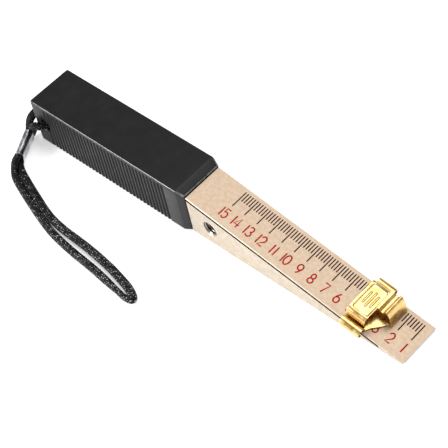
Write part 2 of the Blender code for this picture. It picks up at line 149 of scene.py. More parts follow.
def noise(tree, scale, detail, space=None):
    """Cloudy noise; scale counts its lumps per metre."""
    if space is None:
        space = object_space(tree)
    settings = {"Vector": space, "Scale": scale, "Detail": detail}
    return add_node(tree, "ShaderNodeTexNoise", settings).outputs["Fac"]


def joined(tree, operation, first, second):
    node = add_node(tree, "ShaderNodeMath", {0: first, 1: second}, operation=operation)
    return node.outputs[0]


def vary(tree, shader, socket, factor, stops):
    """Lets a factor run one of the shader's sockets through a ramp."""
    tree.links.new(ramp(tree, factor, stops), shader.inputs[socket])


def relief(tree, shader, height, strength, depth):
    """A bump; depth is its full height in metres."""
    node = add_node(
        tree, "ShaderNodeBump", {"Height": height, "Strength": strength, "Distance": depth}
    )
    tree.links.new(node.outputs["Normal"], shader.inputs["Normal"])


# %% [markdown]
# ## Meshes from cross-sections
# Nearly every piece here is a section carried along a line: a handle, a bent sheet, a cord.
# One function joins a list of rings of points with faces and closes the ends. It gives
# clean quads that shade smoothly, which a pile of booleans would not.

# %% Helpers for meshes
def mesh_piece(name, points, faces, place=Matrix()):
    """A new object from points in millimetres, in the frame of place."""
    mesh = bpy.data.meshes.new(name)
    mesh.from_pydata([place @ Vector(p) * MM for p in points], [], faces)
    mesh.validate()
    made = bpy.data.objects.new(name, mesh)
    bpy.context.scene.collection.objects.link(made)
    shape = bmesh.new()
    shape.from_mesh(mesh)
    bmesh.ops.recalc_face_normals(shape, faces=shape.faces)
    shape.to_mesh(mesh)
    shape.free()
    return made


def lofted(name, rings, place=Matrix(), round_trip=False):
    """Rings of equally many points joined by quads, with a face over each end unless the
    last ring joins the first."""
    count = len(rings[0])
    points = [p for ring in rings for p in ring]
    faces = []
    last = len(rings) if round_trip else len(rings) - 1
    for i in range(last):
        a, b = i * count, (i + 1) % len(rings) * count
        for j in range(count):
            k = (j + 1) % count
            faces.append((a + j, a + k, b + k, b + j))
    if not round_trip:
        faces.append(tuple(range(count)))
        faces.append(tuple(range((len(rings) - 1) * count, len(rings) * count)))
    return mesh_piece(name, points, faces, place)


def arc(centre, radius, start, end, steps):
    across, up = radius if isinstance(radius, tuple) else (radius, radius)
    turns = [math.radians(start + (end - start) * i / steps) for i in range(steps + 1)]
    return [(centre[0] + across * math.cos(a), centre[1] + up * math.sin(a)) for a in turns]


def smoothed(piece, angle=35):
    piece.data.shade_smooth()
    piece.data.set_sharp_from_angle(angle=math.radians(angle))
    return piece


def apply_modifiers(piece):
    bpy.context.view_layer.update()
    seen = piece.evaluated_get(bpy.context.evaluated_depsgraph_get())
    mesh = bpy.data.meshes.new_from_object(seen)
    piece.modifiers.clear()
    piece.data = mesh
    return piece


def cut(piece, cutter, operation="DIFFERENCE"):
    step = piece.modifiers.new(operation.lower(), "BOOLEAN")
    step.operation = operation
    step.object = cutter
    step.solver = "EXACT"
    apply_modifiers(piece)
    bpy.data.objects.remove(cutter, do_unlink=True)
    return piece


def softened(piece, width, angle=30):
    step = piece.modifiers.new("edges", "BEVEL")
    step.width = width * MM
    step.segments = 2
    step.limit_method = "ANGLE"
    step.angle_limit = math.radians(angle)
    step.harden_normals = False
    return apply_modifiers(piece)


def faces_of(*pieces):
    return ", ".join(f"{piece.name} {len(piece.data.polygons)} faces" for piece in pieces)


def dress(piece, *materials):
    """Gives a piece its materials and keeps which face has which."""
    chosen = [min(polygon.material_index, len(materials) - 1) for polygon in piece.data.polygons]
    piece.data.materials.clear()
    for finish in materials:
        piece.data.materials.append(finish)
    piece.data.polygons.foreach_set("material_index", chosen)
    return piece


# %% [markdown]
# ## The lanyard's cord
# The cord is braided nylon 2.5 mm thick: sixteen flat bundles of black filament that
# pass over and under each other on two sets of spirals. A flat texture on a smooth tube
# would lose the knobbly outline, so the tube's own points are moved: each is raised where
# the bundle on top crosses it. The height also goes to the material, which lightens the
# crowns, because light catches the filament there.

# %% Cord shape
CORD_DIAMETER = 2.5
BRAID_PITCH = 1.9              # length of cord in which two crossings repeat
BRAID_AROUND = 6               # crossings around the cord, drawn coarser than the real 8
FOLD_AT, FOLD_SPREAD = 0.477, 0.035     # the wrist loop's tight fold, as shares of its length
LEANING = 1.9                  # how much flatter the strand that comes back from it lies


def smooth_line(route, step):
    """Points a step apart on a Catmull-Rom curve through the route's points."""
    points = [Vector(p) for p in route]
    padded = [2 * points[0] - points[1], *points, 2 * points[-1] - points[-2]]
    fine = []
    for a, b, c, d in zip(padded, padded[1:], padded[2:], padded[3:]):
        for i in range(24):
            t = i / 24
            fine.append(0.5 * (2 * b + (c - a) * t + (2 * a - 5 * b + 4 * c - d) * t ** 2
                               + (3 * b - a - 3 * c + d) * t ** 3))
    fine.append(points[-1])
    travelled = [0.0]
    for start, end in zip(fine, fine[1:]):
        travelled.append(travelled[-1] + (end - start).length)
    count = round(travelled[-1] / step)
    line, j = [], 0
    for i in range(count):
        goal = travelled[-1] * i / count
        while travelled[j + 1] < goal:
            j += 1
        part = (goal - travelled[j]) / max(1e-9, travelled[j + 1] - travelled[j])
        line.append(fine[j].lerp(fine[j + 1], part))
    return [*line, points[-1]], travelled[-1]


def braid_height(turn, along):
    """How far the braid stands up, from 0 in the gaps to 1 on a crown."""
    a = along / BRAID_PITCH * 2 + turn * BRAID_AROUND
    b = along / BRAID_PITCH * 2 - turn * BRAID_AROUND
    over = (math.floor(a) + math.floor(b)) % 2
    across, lengthwise = (a, b) if over else (b, a)
    ridge = math.sin(math.pi * (across % 1)) ** 0.7
    swell = math.sin(math.pi * (lengthwise % 1))
    return ridge * (0.45 + 0.55 * swell)


def braided_cord(name, route, flat=0.0, tall=0.0, sides=24, step=0.17):
    """A braided tube along a route. Away from its ends, flat spreads it sideways and tall
    spreads it upward."""
    line, length = smooth_line(route, step)
    normal = Vector((0, 0, 1))
    rings, heights = [], []
    for i, point in enumerate(line):
        along = (line[min(i + 1, len(line) - 1)] - line[max(i - 1, 0)]).normalized()
        normal = (normal - along * normal.dot(along)).normalized()
        side = along.cross(normal)
        from_end = min(i * step, length - i * step)
        fold = math.exp(-((i * step / length - FOLD_AT) / FOLD_SPREAD) ** 2)
        leaning = LEANING if i * step > length / 2 else 1.0
        wider = 1 + flat * leaning * min(1, from_end / 12) * (1 - fold) - 0.12 * fold * (flat > 0)
        taller = 1 + tall * min(1, max(0, from_end - 2) / 5)
        # The painted highlight on the braid's crowns is weaker towards the cord's ends.
        crown_highlight_share = min(1, 0.74 + from_end / 160)
        ring = []
        for j in range(sides):
            turn = j / sides
            height = braid_height(turn, i * step)
            radius = CORD_DIAMETER / 2 * (0.93 + 0.09 * height)
            angle = 2 * math.pi * turn
            outward = wider * math.cos(angle) * side + taller * math.sin(angle) * normal
            ring.append(point + radius * outward)
            heights.append(height * crown_highlight_share)
        rings.append(ring)
    piece = lofted(name, rings)
    lift = piece.data.attributes.new("braid_height", "FLOAT", "POINT")
    lift.data.foreach_set("value", heights)
    piece.data.shade_smooth()
    return piece, [p * MM for p in line], length * MM


# %% [markdown]
# ### Where the cord runs
# The wrist loop leaves the ferrule's lower mouth, one strand above the other, comes down to
# the surface and lies there as a long flat loop with a tight fold at its end. The small
# loop leaves the upper mouth, goes through the handle's cross hole, comes back round the
# end of the handle and returns to the ferrule.

# %% Cord routes
FERRULE_TOP = Vector((-87.6, -13.25, 3.4))
FERRULE_BOTTOM = Vector((-81.9, -23.5, 3.4))
WRIST_ROUTE = [
    (-82.75, -21.95, 5.05), (-81.95, -23.40, 5.05), (-81.80, -25.30, 4.20), (-81.00, -27.00, 2.90),
    (-79.00, -29.00, 1.60), (-76.50, -30.30, 1.28), (-71.30, -32.25, 1.28), (-60.30, -35.90, 1.28),
    (-48.20, -39.30, 1.28), (-36.40, -40.95, 1.28), (-23.80, -41.90, 1.28), (-15.20, -42.90, 1.28),
    (-9.60, -43.60, 1.28), (-5.60, -43.95, 1.28), (-3.25, -43.05, 1.28), (-4.60, -41.70, 1.28),
    (-8.60, -40.20, 1.28), (-13.50, -39.10, 1.28), (-19.30, -38.00, 1.28), (-25.80, -37.20, 1.28),
    (-32.50, -36.60, 1.28), (-39.00, -36.30, 1.28), (-45.70, -36.00, 1.28), (-52.50, -35.10, 1.28),
    (-58.00, -33.70, 1.28), (-63.30, -31.90, 1.28), (-68.90, -30.00, 1.28), (-74.50, -27.90, 1.28),
    (-78.30, -26.20, 1.32), (-80.50, -24.90, 1.50), (-81.90, -23.45, 1.75), (-82.75, -21.95, 1.75),
]
LOOP_ROUTE = [
    (-86.80, -14.70, 1.75), (-87.60, -13.25, 1.75), (-88.20, -12.20, 1.80), (-88.20, -11.30, 2.30),
    (-87.35, -11.20, 4.10), (-86.40, -11.30, 6.60), (-84.60, -11.80, 9.00), (-82.60, -12.00, 10.30),
    (-80.90, -11.20, 10.30), (-80.30, -9.20, 10.00), (-80.30, -6.50, 10.00), (-80.30, 0.00, 10.00),
    (-80.30, 6.50, 10.00), (-80.30, 9.30, 10.00), (-80.90, 11.20, 10.00), (-82.20, 12.20, 10.00),
    (-85.00, 12.10, 10.00), (-87.40, 10.70, 9.90), (-88.50, 8.00, 9.80), (-88.70, 3.00, 9.80),
    (-88.70, -3.00, 9.80), (-88.75, -7.00, 9.60), (-88.85, -9.40, 8.60), (-88.90, -10.80, 6.80),
    (-88.30, -12.00, 5.40), (-87.60, -13.25, 5.05), (-86.80, -14.70, 5.05),
]
wrist_cord, wrist_line, wrist_length = braided_cord("wrist_cord_braid", WRIST_ROUTE, flat=0.2)
handle_cord, loop_line, loop_length = braided_cord("handle_cord_braid", LOOP_ROUTE, tall=0.4)
print("wrist cord", round(wrist_length, 4), "m, handle cord", round(loop_length, 4), "m")

# %% [markdown]
# ### Braided nylon
# Black nylon filament has a satin sheen. The crowns of the braid are given a light grey
# that is a painted highlight, where light catches the filament; the gaps between bundles
# stay nearly black. The braid's height picks the colour, and a fine noise breaks it into
# filaments.

# %% Cord material
nylon, tree, shader = new_material("braided_nylon_black", "#1B1B1C", 0.62)
shader.inputs["Specular IOR Level"].default_value = 0.2
# The crowns' light grey is a painted highlight: the braid's height, broken up by noise, picks it.
lift = add_node(tree, "ShaderNodeAttribute", attribute_name="braid_height")
fibres = noise(tree, 2200, 4)
lit = joined(tree, "MULTIPLY", lift.outputs["Fac"], fibres)
crown_highlight = joined(tree, "MULTIPLY", lit, noise(tree, 900, 2))
vary(tree, shader, "Base Color", crown_highlight,
     [(0.0, "#030304"), (0.13, "#09090A"), (0.205, "#202022"), (0.27, "#BCBCC0")])
relief(tree, shader, fibres, 0.35, 0.00008)

for piece, node in ((wrist_cord, "lanyard_wrist_cord"), (handle_cord, "lanyard_handle_cord")):
    dress(piece, nylon)
    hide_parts(node)
    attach(piece, "gauge")

# %% [markdown]
# ## The ferrule
# A short flattened aluminium tube squeezed over the four cord ends. It is an obround ring
# carried along its axis. The crimping tool leaves shallow dents across it and rounds its
# mouths a little, so the ring is made narrower at the dents and wider at the ends.

# %% Ferrule
FERRULE_LANE, FERRULE_INSIDE, FERRULE_WALL = 1.45, 1.28, 0.42
DENTS = (0.3, 0.7)                      # shares of its length
FERRULE_TWIST = math.radians(-8)


def ferrule_ring(along, grow):
    """An obround of points at a fraction of the ferrule's length; grow is added all round."""
    pinch = sum(math.exp(-((along - dent) / 0.11) ** 2) for dent in DENTS)
    flare = max(0, 1 - min(along, 1 - along) / 0.07) * 0.08
    radius = FERRULE_INSIDE + grow - 0.06 * pinch + flare
    upper = arc((FERRULE_LANE, 0), radius, -90, 90, 12)
    ring = upper + [(-x, -y) for x, y in upper]
    waist = 1 - 0.16 * min(1, pinch)
    return [(x, y * (waist if abs(x) < FERRULE_LANE * 0.98 else 1)) for x, y in ring]


ferrule_axis = FERRULE_BOTTOM - FERRULE_TOP
ferrule_out = ferrule_axis.normalized()
ferrule_up = Matrix.Rotation(FERRULE_TWIST, 3, ferrule_out) @ Vector((0, 0, 1))
ferrule_turn = Matrix((ferrule_up, ferrule_out.cross(ferrule_up), ferrule_out)).transposed()
ferrule_place = Matrix.Translation(FERRULE_TOP) @ ferrule_turn.to_4x4()
outside = [(i / 40, FERRULE_WALL) for i in range(41)]
inside = [(i / 40, 0) for i in reversed(range(41))]
ferrule_rings = [
    [(x, y, along * ferrule_axis.length) for x, y in ferrule_ring(along, grow)]
    for along, grow in outside + inside
]
ferrule = lofted("crimped_ferrule", ferrule_rings, ferrule_place, round_trip=True)
smoothed(softened(ferrule, 0.1), 50)
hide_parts("lanyard_ferrule")
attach(ferrule, "gauge")
print(faces_of(ferrule), "length", round(ferrule_axis.length, 1))

# %% [markdown]
# ### Bright aluminium
# Drawn aluminium tube keeps fine lines along its length and is dulled in patches by
# handling. The lines are noise stretched along the tube's axis.

# %% Ferrule material
aluminium, tree, shader = new_material("drawn_aluminium_tube", "#E2E2E4", 0.28, 1.0)
heading = math.atan2(ferrule_out.y, ferrule_out.x)
lines = noise(tree, 1.0, 3, stretched(tree, (0, 0, -heading), (220, 4200, 4200)))
vary(tree, shader, "Roughness", lines, [(0.3, 0.18), (0.7, 0.42)])
vary(tree, shader, "Base Color", noise(tree, 420, 4), [(0.35, "#8C8C90"), (0.62, "#D8D8DC")])
relief(tree, shader, lines, 0.25, 0.00005)
dress(ferrule, aluminium)

# %% [markdown]
# ## The handle
# The handle is one moulding: a block with softly rounded long edges, a tapered nose and
# 35 finger grooves down each side. Its outline in section is a rounded rectangle. The
# section is carried along the handle, and where a groove crosses, its sides are drawn in.
# That way the grooves run out through the bottom edge, as they do from a two-part mould.

# %% Handle section and stations
HALF_WIDTH, HEIGHT, EDGE = 9.75, 20.5, 0.6
RIB_COUNT, RIB_PITCH, RIB_FRONT, RIB_DEPTH, RIB_TOP = 35, 1.775, 10.0, 0.7, 19.2
NOSE_LENGTH, NOSE_DROP = 3.0, 1.0
REAR_ROUND, REAR_LIFT = 1.1, 1.82       # the rear's rounding, and how far its heel is lifted
CAVITY_HALF, CAVITY_LOW, CAVITY_HIGH, CAVITY_DEPTH = 7.3, 3.95, 16.55, 57.0
rear_x, front_x = handle_low.x, handle_high.x


def handle_section(inset, depth=0.0, heel=0.0, droop=0.0):
    """Points round the section. Inset shrinks it all round, depth is the groove's, heel lifts
    the bottom and droop lowers the top."""
    half, low, high = HALF_WIDTH - inset, inset + heel, HEIGHT - inset - droop
    r = EDGE
    side = [1.6, 4.0, 7.0, 10.0, 13.0, 16.0, 17.8, 18.3, 18.7, 19.0, 19.2]
    span = [low + (z / HEIGHT) * (high - low) for z in side]
    right = arc((half - r, low + r), r, -90, 0, 5) + [(half, z) for z in span]
    right += arc((half - r, high - r), r, 0, 90, 5)
    ring = []
    for y, z in right:
        fade = min(1, max(0, (RIB_TOP - z) / 0.9))
        ring.append((min(y, half - depth * math.sin(fade * math.pi / 2)), z))
    top = [(half * k / 4, high) for k in (2, 0, -2)]
    bottom = [(half * k / 4, low) for k in (-2, 0, 2)]
    return ring + top + [(-y, z) for y, z in ring[::-1]] + bottom


def at_station(x, section):
    return [(x, y, z) for y, z in section]


handle_rings = []
for i in range(6):
    turn = math.radians(90 * i / 5)
    share = 1 - math.sin(turn)
    section = handle_section(REAR_ROUND * share, heel=REAR_LIFT * share)
    handle_rings.append(at_station(rear_x + REAR_ROUND * (1 - math.cos(turn)), section))
handle_rings.append(at_station(rear_x + 1.5, handle_section(0)))
GROOVE_SHAPE = [                        # (distance from its middle, share of its depth)
    (-0.64, 0), (-0.54, 0.06), (-0.44, 0.36), (-0.32, 0.82), (-0.12, 1),
    (0.12, 1), (0.32, 0.82), (0.44, 0.36), (0.54, 0.06), (0.64, 0),
]
for i in reversed(range(RIB_COUNT)):
    middle = front_x - RIB_FRONT - i * RIB_PITCH
    for offset, share in GROOVE_SHAPE:
        handle_rings.append(at_station(middle + offset, handle_section(0, RIB_DEPTH * share)))
for back, inset, droop in (
    (NOSE_LENGTH + 0.5, 0, 0), (NOSE_LENGTH, 0.03, 0), (NOSE_LENGTH - 0.35, 0.13, 0.06),
    (0.6, NOSE_DROP - 0.22, 0.46), (0.25, NOSE_DROP - 0.08, 0.52), (0.06, NOSE_DROP + 0.06, 0.6),
    (0.0, NOSE_DROP + 0.2, 0.72),
):
    handle_rings.append(at_station(front_x - back, handle_section(inset, droop=droop)))


def squared(ring, half, low, high):
    """A ring pulled in to fit a box, so the outline becomes that of the tang's cavity."""
    return [(x, max(-half, min(half, y)), max(low, min(high, z))) for x, y, z in ring]


cavity_ring = squared(handle_rings[-1], CAVITY_HALF, CAVITY_LOW, CAVITY_HIGH)
for depth in (0.0, CAVITY_DEPTH):
    handle_rings.append([(front_x - depth, y, z) for _, y, z in cavity_ring])
handle = lofted("handle_moulding", handle_rings)
print(faces_of(handle), "from", len(handle_rings), "sections")

# %% [markdown]
# ### Holes in the handle
# The cord hole goes across near the rear with a small chamfer at each mouth, and the
# screw's seat is sunk in the underside. Both are turned cutters taken away with a boolean.

# %% Handle holes
ON_SIDE = Matrix.Rotation(math.pi / 2, 4, "X")
CORD_HOLE_FROM_REAR, CORD_HOLE_Z = 5.1, 10.0
SCREW_FROM_FRONT = 22.0
EDGE_HIGHLIGHT_DEPTH = 2.6                      # how far down from the top the edges take the lighter grey of painted highlight and rubbing


def circle_point(radius, angle, height):
    return radius * math.cos(angle), radius * math.sin(angle), height


def turned_solid(profile, place, steps=48):
    """A solid turned about Z from (radius, height) pairs."""
    angles = [2 * math.pi * i / steps for i in range(steps)]
    rings = [[circle_point(radius, a, height) for a in angles] for radius, height in profile]
    return lofted("cutter", rings, place)


def mirrored(profile):
    """A profile's upper half with its lower half put before it."""
    return [(radius, -height) for radius, height in profile[::-1]] + profile


cord_hole = Matrix.Translation((rear_x + CORD_HOLE_FROM_REAR, 0, CORD_HOLE_Z)) @ ON_SIDE
cut(handle, turned_solid(mirrored([(2.4, 9.2), (2.95, 9.75), (3.5, 10.35)]), cord_hole))
screw_place = Matrix.Translation((front_x - SCREW_FROM_FRONT, 0, 0))
cut(handle, turned_solid([(3.25, -1), (3.25, 0.25), (1.8, 2.0), (1.8, 5)], screw_place))
# Faces on the upper long edges and the nose's rim take the second material, whose lighter grey is a
# painted highlight on plastic made glossier by rubbing.
for polygon in handle.data.polygons:
    slope = math.hypot(polygon.normal.x, polygon.normal.y)
    near_top = polygon.center.z / MM > HEIGHT - EDGE_HIGHLIGHT_DEPTH
    on_edge = near_top and polygon.normal.z > 0.2 and slope > 0.5
    polygon.material_index = 1 if on_edge else 0
smoothed(handle, 42)
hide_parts("handle_body")
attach(handle, "gauge")
print(faces_of(handle), "with its holes")

# %% [markdown]
# ### Moulded ABS
# The mould was spark-eroded, so the plastic has a very fine pebbled skin: satin, not
# glossy, with a grain of about 0.15 mm. Handling polishes it in patches and leaves faint
# scuffs, which show as changes in roughness more than in colour. The long edges and the
# nose's rim are glossier from rubbing, and their lighter grey is a painted highlight, the
# thin line of light that they catch.

# %% Handle material
abs_plastic, tree, shader = new_material("moulded_abs_black", "#121213", 0.42)
shader.inputs["Specular IOR Level"].default_value = 0.28
cloud = noise(tree, 260, 5)
mixed = joined(tree, "MULTIPLY", cloud, noise(tree, 1900, 3))
vary(tree, shader, "Roughness", cloud, [(0.32, 0.37), (0.7, 0.46)])
vary(tree, shader, "Base Color", mixed, [(0.12, "#0D0D0E"), (0.3, "#121213"), (0.42, "#1A1A1B")])
pebble = add_node(tree, "ShaderNodeTexVoronoi", {"Vector": object_space(tree), "Scale": 5200},
                  feature="SMOOTH_F1")
relief(tree, shader, pebble.outputs["Distance"], 0.22, 0.00004)

# The edge material's lighter grey is a painted highlight; its lower roughness is the real gloss of
# rubbing.
edge_highlight_and_rubbing, tree, shader = new_material("abs_edge_painted_highlight_and_rubbing", "#707073", 0.22)
highlight_and_rub_noise = noise(tree, 500, 3)
vary(tree, shader, "Base Color", highlight_and_rub_noise, [(0.3, "#4C4C4F"), (0.7, "#8C8C90")])
vary(tree, shader, "Roughness", highlight_and_rub_noise, [(0.3, 0.16), (0.7, 0.32)])
dress(handle, abs_plastic, edge_highlight_and_rubbing)

# %% [markdown]
# ## The handle's screw
# A countersunk socket screw holds the tang from below. Its head is turned, and the
# hexagon socket is cut into it.

# %% Screw
SOCKET_RADIUS, SOCKET_DEPTH = 1.05, 1.1
screw = turned_solid(
    [(2.55, 0.06), (2.85, 0.14), (2.9, 0.38), (1.5, 1.72), (1.5, 8.6), (1.15, 9.0)], screw_place
)
screw.name = "socket_screw"
cut(screw, turned_solid([(SOCKET_RADIUS, -1.0), (SOCKET_RADIUS, SOCKET_DEPTH)], screw_place, 6))
smoothed(softened(screw, 0.06), 40)
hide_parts("handle_screw")
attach(screw, "gauge")
print(faces_of(screw))

# %% [markdown]
# ### Black oxide
# The screw is dipped in a hot salt bath that turns the steel's own skin black, and then in
# oil. It stays metallic, with a faint blue cast, and it is duller where the oil has dried.

# %% Screw material
black_oxide, tree, shader = new_material("black_oxide_steel", "#3A3A3E", 0.42, 0.85)
oil = noise(tree, 900, 4)
vary(tree, shader, "Base Color", oil, [(0.3, "#26262A"), (0.7, "#505056")])
vary(tree, shader, "Roughness", oil, [(0.3, 0.32), (0.7, 0.55)])
dress(screw, black_oxide)

# %% [markdown]
# ## The steel bar
# The bar is milled from flat stock: a flat underside, a sloping scale face, and a shallow
# guide groove along each side just under that face, where the slider's lips run. Its long
# edges are broken with a fine stone, and those tiny chamfers catch a bright line of light.
# The section is built with the grooves in it and carried from the tip to the shoulder.

# %% Bar
HALF_BAR, BREAK = 8.55, 0.16
GROOVE_TOP, GROOVE_BOTTOM, GROOVE_DEPTH, GROOVE_END = 0.55, 1.55, 0.75, 12.35
TANG_HALF, TANG_LOW, TANG_HIGH = 7.0, 4.25, 16.25
shoulder_x = front_x + 0.3


def bar_section(x, grooved):
    """The bar's outline at x, with or without its side grooves."""
    thickness = (apex_x - x) * math.tan(SLOPE)
    low, high = bar_low.z, bar_low.z + thickness
    chamfer = min(BREAK, thickness * 0.3)
    if grooved:
        upper, lower = high - GROOVE_TOP / math.cos(SLOPE), high - GROOVE_BOTTOM / math.cos(SLOPE)
    else:
        upper, lower = high - thickness * 0.45, high - thickness * 0.55
    inner = HALF_BAR - (GROOVE_DEPTH if grooved else 0)
    right = [
        (HALF_BAR - chamfer, low), (HALF_BAR, low + chamfer), (HALF_BAR, lower), (inner, lower),
        (inner, upper), (HALF_BAR, upper), (HALF_BAR, high - chamfer), (HALF_BAR - chamfer, high),
    ]
    return right + [(-y, z) for y, z in right[::-1]]


groove_x = apex_x - GROOVE_END * math.cos(SLOPE)
bar_rings = [at_station(bar_high.x, bar_section(bar_high.x, False)),
             at_station(groove_x, bar_section(groove_x, False)),
             at_station(groove_x - 0.01, bar_section(groove_x - 0.01, True))]
for i in range(1, 13):
    x = groove_x + (shoulder_x - groove_x) * i / 12
    bar_rings.append(at_station(x, bar_section(x, True)))
tang_ring = squared(bar_rings[-1], TANG_HALF, TANG_LOW, TANG_HIGH)
for x in (shoulder_x, bar_low.x):
    bar_rings.append([(x, y, z) for _, y, z in tang_ring])
bar = lofted("steel_wedge_bar", bar_rings)
print(faces_of(bar))

# %% [markdown]
# ### The threaded side hole
# An M6 hole crosses the bar near the handle. The hole is bored at the thread's outer
# diameter, and the thread itself is a ridge of triangular section that winds along it, one
# turn for each millimetre.

# %% Side hole and its thread
HOLE_READING, HOLE_Z = 15.82, 7.6        # where its axis is: the reading above it, and its height
THREAD_OUTER, THREAD_INNER, THREAD_HALF_LENGTH, THREAD_STEPS = 3.04, 2.56, 8, 36
hole_x, hole_z = apex_x - HOLE_READING * PITCH * math.cos(SLOPE), bar_low.z + HOLE_Z
hole_place = Matrix.Translation((hole_x, 0, hole_z)) @ ON_SIDE
cut(bar, turned_solid(mirrored([(3.0, 8.25), (3.3, 8.55), (3.85, 9.1)]), hole_place, 64))
face_up = Vector((math.sin(SLOPE), 0, math.cos(SLOPE)))
# Faces in the hole and in the side grooves get the dark third material: painted shade in these
# recesses.
for polygon in bar.data.polygons:
    centre = polygon.center / MM
    from_axis = math.hypot(centre.x - hole_x, centre.z - hole_z)
    in_hole = from_axis < 3.05 and abs(polygon.normal.y) < 0.3
    under_face = (apex_x - centre.x) * math.tan(SLOPE) + bar_low.z - centre.z
    inward = abs(centre.y) < HALF_BAR - 0.2
    in_groove = inward and 0.4 < under_face < 1.8 and centre.x > front_x
    on_face = polygon.normal.dot(face_up) > 0.9 and under_face < 0.3
    polygon.material_index = 2 if in_hole or in_groove else 0 if on_face else 1
smoothed(bar, 25)

THREAD_SECTION = [                      # (radius, rise)
    (THREAD_OUTER, -0.46), (THREAD_INNER, -0.06), (THREAD_INNER, 0.06), (THREAD_OUTER, 0.46),
]
thread_rings = []
for i in range(2 * THREAD_HALF_LENGTH * THREAD_STEPS + 1):
    turn, height = 2 * math.pi * i / THREAD_STEPS, i / THREAD_STEPS - THREAD_HALF_LENGTH
    thread_rings.append([
        circle_point(radius, turn, height + rise) for radius, rise in THREAD_SECTION
    ])
thread = lofted("side_hole_thread", thread_rings, hole_place)
smoothed(thread, 30)
for piece in (bar, thread):
    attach(piece, "gauge")
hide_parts("wedge_bar")
print(faces_of(bar, thread))

# %% [markdown]
# ### Satin steel
# The scale face is bead-blasted, a satin with a fine mottle, and the ground sides carry
# faint lines along the bar. The warm champagne tint of both is painted reflection of warm
# surroundings, and the sides' paler colour is painted light from the white table. The
# grooves and the hole are painted dark as painted shade, and the tapped thread is bare
# bright metal.

# %% Steel materials
def satin_steel(name, low, mid, high, roughness, stretch):
    made, tree, shader = new_material(name, mid, roughness, 0.55)
    mottle = noise(tree, 760, 6)
    beads = add_node(tree, "ShaderNodeTexVoronoi", {"Vector": object_space(tree), "Scale": 2600})
    lines = noise(tree, 1.0, 2, stretched(tree, (0, SLOPE, 0), (stretch, 3000, 3000)))
    vary(tree, shader, "Base Color", mottle, [(0.34, low), (0.5, mid), (0.66, high)])
    vary(tree, shader, "Roughness", mottle, [(0.3, roughness - 0.04), (0.7, roughness + 0.05)])
    relief(tree, shader, joined(tree, "ADD", lines, beads.outputs["Distance"]), 0.18, 0.00004)
    return made


# Both colour sets are warm as painted reflection; the sides' set is paler as painted light from the
# white table, while their lengthwise lines are real grinding.
blasted = satin_steel("blasted_steel_champagne", "#B9A188", "#C3AC94", "#CDB7A0", 0.46, 2400)
ground = satin_steel("ground_steel_sides", "#BFB19E", "#C7BAA8", "#CFC3B3", 0.4, 160)
# A dark steel colour for the grooves and the hole, as painted shade.
painted_recess_shade, tree, shader = new_material("steel_painted_recess_shade", "#2A2320", 0.4, 0.7)
vary(tree, shader, "Base Color", noise(tree, 700, 4), [(0.35, "#15110F"), (0.7, "#4A3F38")])
dress(bar, blasted, ground, painted_recess_shade)
tapped, tree, shader = new_material("tapped_steel_thread", "#8C867E", 0.3, 1.0)
vary(tree, shader, "Roughness", noise(tree, 1500, 3), [(0.3, 0.2), (0.7, 0.42)])
dress(thread, tapped)

# %% [markdown]
# ## The scale
# The divisions are cut and filled with ink: a line for every 0.2 mm of thickness, a longer
# one for each whole millimetre, and a number below it. Each stroke is drawn as a thin
# round-ended cord pressed almost flat on the face, which looks like filled engraving and
# needs no font. The numbers are built from arcs and straight strokes on a small grid.

# %% Scale strokes
FIRST_READING, LAST_READING, TICKS_PER_MM = 1, 15, 5
TICK_FAR, TICK_SHORT, TICK_LONG, TICK_WIDTH = 7.05, 3.2, -0.12, 0.46
DIGIT_TOP, DIGIT_HEIGHT, DIGIT_WIDTH, DIGIT_GAP = -1.95, 3.9, 2.05, 0.65
ONE_WIDTH, ELEVEN_GAP = 0.1, 1.4        # a 1 is one stroke, and the two of 11 stand apart
NUMBER_WIDTH, INK_HEIGHT = 0.56, 0.03
STROKES = {
    "0": [arc((0.5, 0.5), 0.5, 90, 450, 24)],
    "1": [[(0.5, 0), (0.5, 1)]],
    "2": [arc((0.5, 0.7), (0.44, 0.3), 165, -38, 12) + [(0.04, 0.02), (0.98, 0.02)]],
    "3": [arc((0.48, 0.74), (0.4, 0.26), 150, -88, 12),
          arc((0.48, 0.25), (0.46, 0.25), 88, -155, 12)],
    "4": [[(0.72, 0), (0.72, 1), (0.0, 0.3), (1.0, 0.3)]],
    "5": [[(0.92, 1.0), (0.2, 1.0), (0.12, 0.56),
           *arc((0.48, 0.33), (0.46, 0.33), 128, -145, 14)]],
    "6": [arc((0.5, 0.3), (0.46, 0.3), 0, 360, 24), [(0.08, 0.42), (0.3, 0.75), (0.62, 1.0)]],
    "7": [[(0.02, 1.0), (0.96, 1.0), (0.3, 0.0)]],
    "8": [arc((0.5, 0.75), (0.36, 0.25), 0, 360, 20), arc((0.5, 0.26), (0.46, 0.26), 0, 360, 24)],
    "9": [arc((0.5, 0.7), (0.46, 0.3), 0, 360, 24), [(0.92, 0.58), (0.7, 0.25), (0.38, 0.0)]],
}


def ink_strokes(name, strokes, width, lift):
    """Strokes in face coordinates (along, across), as flat round-ended lines on the face."""
    curve = bpy.data.curves.new(name, "CURVE")
    curve.dimensions = "3D"
    curve.bevel_depth = width / 2 * MM
    curve.bevel_resolution = 2
    curve.use_fill_caps = True
    for stroke in strokes:
        spline = curve.splines.new("POLY")
        spline.points.add(len(stroke) - 1)
        for point, (s, y) in zip(spline.points, stroke):
            point.co = (s * MM, y * MM, 0, 1)
    drawn = bpy.data.objects.new(name, curve)
    bpy.context.scene.collection.objects.link(drawn)
    bpy.context.view_layer.update()
    seen = drawn.evaluated_get(bpy.context.evaluated_depsgraph_get())
    mesh = bpy.data.meshes.new_from_object(seen)
    bpy.data.objects.remove(drawn, do_unlink=True)
    flat = face.copy()
    flat.translation = flat.translation * MM
    mesh.transform(flat @ Matrix.Diagonal((1, 1, lift / (width / 2), 1)))
    made = bpy.data.objects.new(name, mesh)
    bpy.context.scene.collection.objects.link(made)
    made.data.shade_smooth()
    return made


